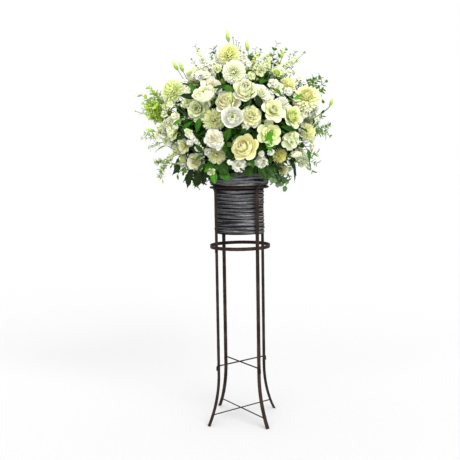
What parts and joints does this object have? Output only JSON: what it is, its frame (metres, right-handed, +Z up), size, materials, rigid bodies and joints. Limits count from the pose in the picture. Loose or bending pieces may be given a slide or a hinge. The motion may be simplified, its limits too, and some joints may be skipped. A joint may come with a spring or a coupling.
{
  "type": "standing flower arrangement",
  "caption": "Tall standing arrangement of white, cream and yellow blooms with loose foliage, in a grey vine basket held high by a legged iron stand.",
  "frame": {"origin": "middle of the bounding box, on the floor", "axes": "+Z up, the front faces -Y, +X to the viewer's right from the front"},
  "size_m": [0.8952, 0.6464, 1.796],
  "materials": {
    "iron": "matte",
    "vine": "matte",
    "liner": "matte",
    "foam": "matte",
    "greens": "satin",
    "petal_white": "matte",
    "petal_cream": "matte",
    "petal_yellow": "matte",
    "petal_lime": "matte"
  },
  "bodies": {
    "root": {"upper_ring": "iron", "lower_ring": "iron", "leg_1": "iron", "leg_2": "iron", "leg_3": "iron", "leg_4": "iron", "high_rod_a": "iron", "low_rod_a": "iron", "high_rod_b": "iron", "low_rod_b": "iron", "basket": "vine", "liner": "liner", "foam": "foam", "mum_1": "petal_yellow", "mum_2": "petal_white", "mum_3": "petal_cream", "mum_4": "petal_cream", "mum_5": "petal_yellow", "mum_6": "petal_cream", "mum_7": "petal_yellow", "mum_8": "petal_cream", "rose_1": "petal_cream", "rose_2": "petal_cream", "rose_3": "petal_lime", "rose_4": "petal_cream", "ranunculus_1": "petal_white", "ranunculus_2": "petal_white", "ranunculus_3": "petal_yellow", "lisianthus_1": "petal_cream", "lisianthus_2": "petal_cream", "lisianthus_3": "petal_white", "lisianthus_4": "petal_lime", "lisianthus_5": "petal_white", "carnation_1": "petal_white", "carnation_2": "petal_yellow", "carnation_3": "petal_yellow", "dahlia_1": "petal_white", "sweetpea_1": "petal_white", "sweetpea_2": "petal_white", "sweetpea_3": "petal_white", "spire_1": "petal_white", "spire_2": "petal_white", "spire_3": "petal_white", "spire_4": "petal_white", "spire_5": "petal_white", "spire_6": "petal_white", "spire_7": "petal_white", "back_roses_1": "petal_white", "back_mums_1": "petal_cream", "back_roses_2": "petal_cream", "back_mums_2": "petal_yellow", "back_roses_3": "petal_lime", "back_mums_3": "petal_white", "greens_1": "greens", "greens_2": "greens", "greens_3": "greens", "greens_4": "greens", "greens_5": "greens", "greens_6": "greens", "greens_7": "greens"}
  },
  "joints": []
}
